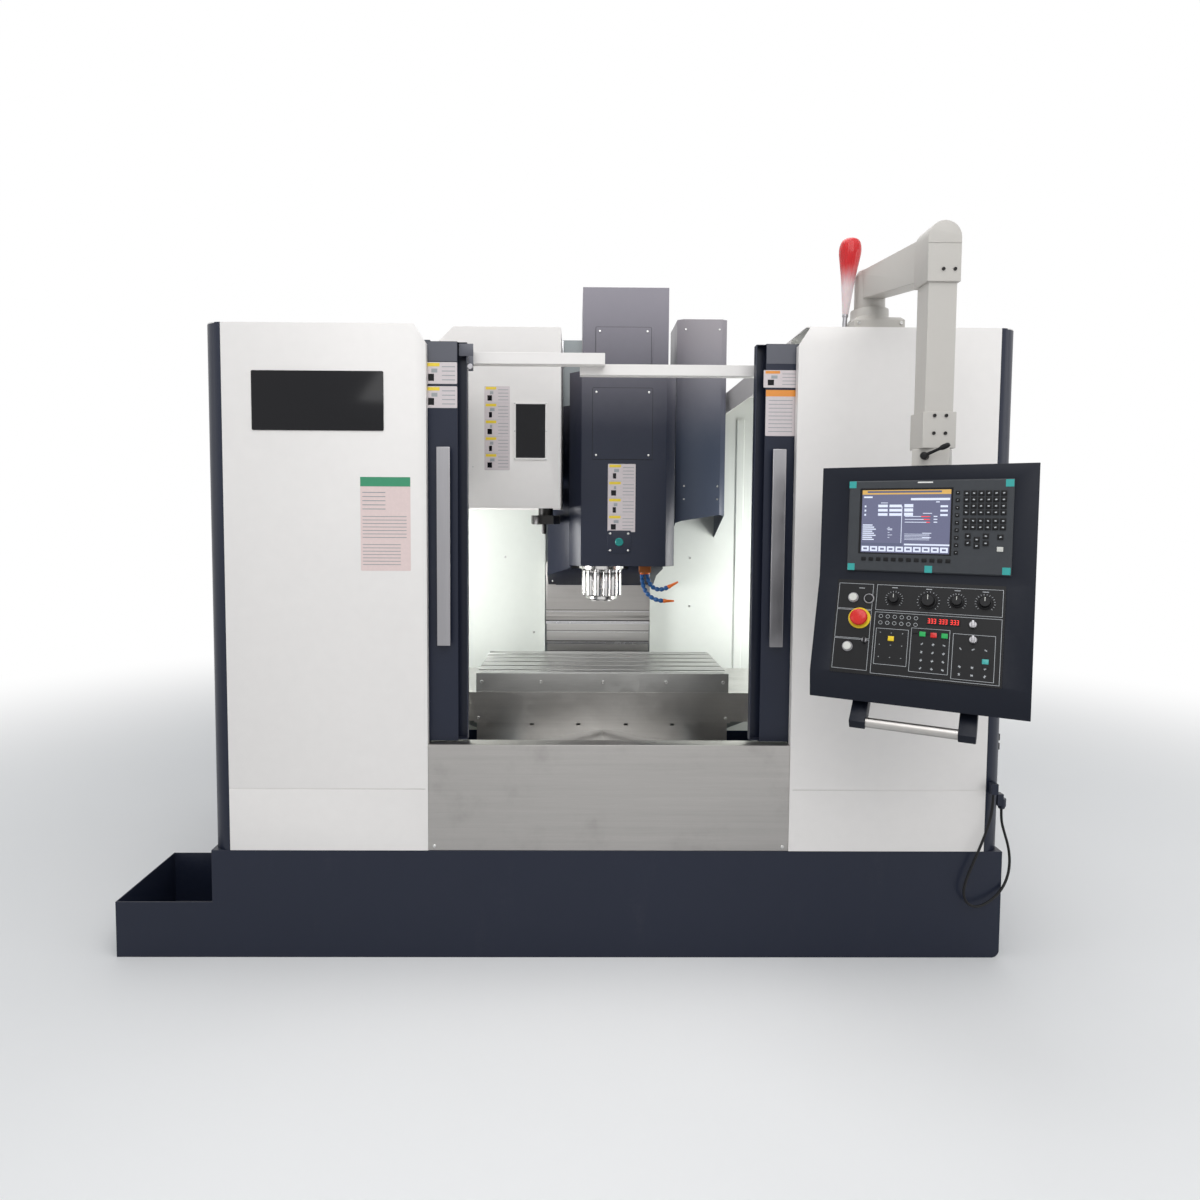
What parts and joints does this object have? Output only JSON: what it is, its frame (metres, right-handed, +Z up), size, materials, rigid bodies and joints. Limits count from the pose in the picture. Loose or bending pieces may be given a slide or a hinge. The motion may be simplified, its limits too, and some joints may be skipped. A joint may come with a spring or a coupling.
{
  "type": "vertical machining center",
  "caption": "Vertical machining centre with open sliding doors, T-slot table, side tool changer, way covers and an operator panel on a swing arm",
  "frame": {"origin": "on the floor under the spindle axis, on the underside of the coolant base", "axes": "+X to the right of a person at the doors, +Y to the back, +Z up; one unit is a metre"},
  "size_m": [2.8566, 3.0607, 2.45],
  "materials": {
    "arm_paint": "satin paint",
    "bezel_grey": "moulded",
    "black_oxide": "blackened, oiled",
    "cable_black": "smooth",
    "casting_paint": "plain machine enamel",
    "cover_steel": "ground sheet",
    "cream_paint": "smooth satin paint",
    "door_window": "clear",
    "ground_steel": "ground",
    "handle_metal": "brushed",
    "hose_blue": "moulded",
    "inner_paint": "satin paint",
    "key_black": "moulded",
    "lamp_red": "translucent",
    "motor_black": "satin paint",
    "navy_paint": "fine textured semi-gloss paint",
    "spindle_steel": "turned",
    "stainless": "brushed",
    "stop_red": "moulded",
    "table_iron": "ground and scraped"
  },
  "bodies": {
    "machine": {"coolant_base": "navy_paint", "levelling_feet": "ground_steel", "bed_casting": "casting_paint", "fixed_guide_rails": "ground_steel", "column_casting": "casting_paint", "axis_motors": "motor_black", "side_shell_left": "cream_paint", "side_shell_right": "cream_paint", "back_wall": "inner_paint", "cable_duct": "navy_paint", "front_panel_left": "cream_paint", "front_panel_right": "cream_paint", "corner_posts": "navy_paint", "lower_front_panel": "stainless", "top_rails": "cream_paint", "electrical_cabinet": "cream_paint", "arm_base": "arm_paint", "signal_lamp": "lamp_red", "magazine_cover": "cream_paint", "tool_change_gearbox": "casting_paint", "fixed_way_covers": "cover_steel", "power_cable": "cable_black"},
    "saddle": {"saddle_casting": "casting_paint", "x_guide_rails": "ground_steel", "saddle_way_covers": "cover_steel"},
    "table": {"work_table": "table_iron", "table_way_covers": "cover_steel"},
    "x_cover": {"x_cover_middle": "cover_steel"},
    "y_cover": {"y_cover_middle": "cover_steel"},
    "z_cover_high": {"z_cover_upper": "cover_steel"},
    "z_cover_low": {"z_cover_lower": "cover_steel"},
    "head": {"head_casting": "casting_paint", "spindle_cartridge": "spindle_steel", "spindle_motor": "motor_black", "head_cover": "navy_paint", "coolant_nozzles": "hose_blue"},
    "spindle": {"spindle_shaft": "spindle_steel"},
    "sleeve": {"arm_sleeve": "ground_steel"},
    "changer": {"change_arm": "black_oxide"},
    "drum": {"magazine_drum": "motor_black"},
    "pot": {"change_pot": "motor_black"},
    "door_left": {"left_door": "navy_paint", "left_door_glass": "door_window", "left_door_handle": "handle_metal"},
    "door_right": {"right_door": "navy_paint", "right_door_glass": "door_window", "right_door_handle": "handle_metal"},
    "arm": {"swing_arm": "arm_paint"},
    "panel": {"panel_swivel": "arm_paint", "panel_housing": "navy_paint", "screen_unit": "bezel_grey", "key_panel": "key_black", "panel_handle": "stainless"},
    "lever": {"clamp_lever": "key_black"},
    "stop": {"emergency_stop": "stop_red"},
    "dial_feed": {"feed_dial": "key_black"},
    "dial_hand": {"hand_dial": "key_black"},
    "dial_speed": {"speed_dial": "key_black"},
    "dial_mode": {"mode_dial": "key_black"},
    "cabinet_leaf": {"cabinet_door": "cream_paint"}
  },
  "joints": [
    {"name": "saddle_y", "type": "slide", "parent": "machine", "child": "saddle", "axis": [0, 1, 0], "range_m": [-0.3, 0.17]},
    {"name": "y_cover_slide", "type": "slide", "parent": "machine", "child": "y_cover", "axis": [0, 1, 0], "range_m": [-0.15, 0.085]},
    {"name": "table_x", "type": "slide", "parent": "saddle", "child": "table", "axis": [1, 0, 0], "range_m": [-0.4, 0.4]},
    {"name": "x_cover_slide", "type": "slide", "parent": "saddle", "child": "x_cover", "axis": [1, 0, 0], "range_m": [-0.2, 0.2]},
    {"name": "head_z", "type": "slide", "parent": "machine", "child": "head", "axis": [0, 0, 1], "range_m": [-0.159, 0.391]},
    {"name": "z_cover_upper_slide", "type": "slide", "parent": "machine", "child": "z_cover_high", "axis": [0, 0, 1], "range_m": [-0.106, 0.26067]},
    {"name": "z_cover_lower_slide", "type": "slide", "parent": "machine", "child": "z_cover_low", "axis": [0, 0, 1], "range_m": [-0.053, 0.13034]},
    {"name": "spindle_spin", "type": "hinge", "parent": "head", "child": "spindle", "pos_m": [0, 0, 1.2], "axis": [0, 0, 1], "continuous": true},
    {"name": "arm_turn", "type": "hinge", "parent": "machine", "child": "sleeve", "pos_m": [-0.235, 0, 1.5], "axis": [0, 0, 1], "range_deg": [-10, 20]},
    {"name": "arm_lift", "type": "slide", "parent": "sleeve", "child": "changer", "axis": [0, 0, 1], "range_m": [-0.115, 0]},
    {"name": "drum_turn", "type": "hinge", "parent": "machine", "child": "drum", "pos_m": [-0.44, 0, 1.739], "axis": [1, 0, 0], "continuous": true},
    {"name": "pot_tilt", "type": "hinge", "parent": "drum", "child": "pot", "pos_m": [-0.461, 0, 1.485], "axis": [0, -1, 0], "range_deg": [0, 90]},
    {"name": "left_door_slide", "type": "slide", "parent": "machine", "child": "door_left", "axis": [1, 0, 0], "range_m": [0, 0.45]},
    {"name": "right_door_slide", "type": "slide", "parent": "machine", "child": "door_right", "axis": [-1, 0, 0], "range_m": [0, 0.45]},
    {"name": "arm_swing", "type": "hinge", "parent": "machine", "child": "arm", "pos_m": [0.822, -0.74, 2.09], "axis": [0, 0, 1], "range_deg": [-15, 25]},
    {"name": "panel_turn", "type": "hinge", "parent": "arm", "child": "panel", "pos_m": [0.822, -1.204, 1.56], "axis": [0, 0, 1], "range_deg": [-30, 30]},
    {"name": "lever_turn", "type": "hinge", "parent": "panel", "child": "lever", "pos_m": [0.81171, -1.19782, 1.567], "axis": [0.515, 0.8572, 0], "range_deg": [-40, 50]},
    {"name": "stop_push", "type": "slide", "parent": "panel", "child": "stop", "axis": [0.4866, 0.8099, -0.3276], "range_m": [0, 0.005], "stiffness_N_per_m": 6000},
    {"name": "feed_dial_turn", "type": "hinge", "parent": "panel", "child": "dial_feed", "pos_m": [0.72405, -1.22722, 1.19409], "axis": [-0.4866, -0.8099, 0.3276], "range_deg": [-135, 135]},
    {"name": "hand_dial_turn", "type": "hinge", "parent": "panel", "child": "dial_hand", "pos_m": [0.79417, -1.26973, 1.19315], "axis": [-0.4866, -0.8099, 0.3276], "continuous": true},
    {"name": "speed_dial_turn", "type": "hinge", "parent": "panel", "child": "dial_speed", "pos_m": [0.85125, -1.30288, 1.19598], "axis": [-0.4866, -0.8099, 0.3276], "range_deg": [-135, 135]},
    {"name": "mode_dial_turn", "type": "hinge", "parent": "panel", "child": "dial_mode", "pos_m": [0.90542, -1.33505, 1.19693], "axis": [-0.4866, -0.8099, 0.3276], "range_deg": [-90, 90]},
    {"name": "cabinet_door_swing", "type": "hinge", "parent": "machine", "child": "cabinet_leaf", "pos_m": [-0.56, 1.592, 1.3], "axis": [0, 0, 1], "range_deg": [0, 110]}
  ],
  "couplings": [
    {"joint": "y_cover_slide", "follows": "saddle_y", "ratio": 0.5},
    {"joint": "x_cover_slide", "follows": "table_x", "ratio": 0.5},
    {"joint": "z_cover_upper_slide", "follows": "head_z", "ratio": 0.66667},
    {"joint": "z_cover_lower_slide", "follows": "head_z", "ratio": 0.33333}
  ]
}
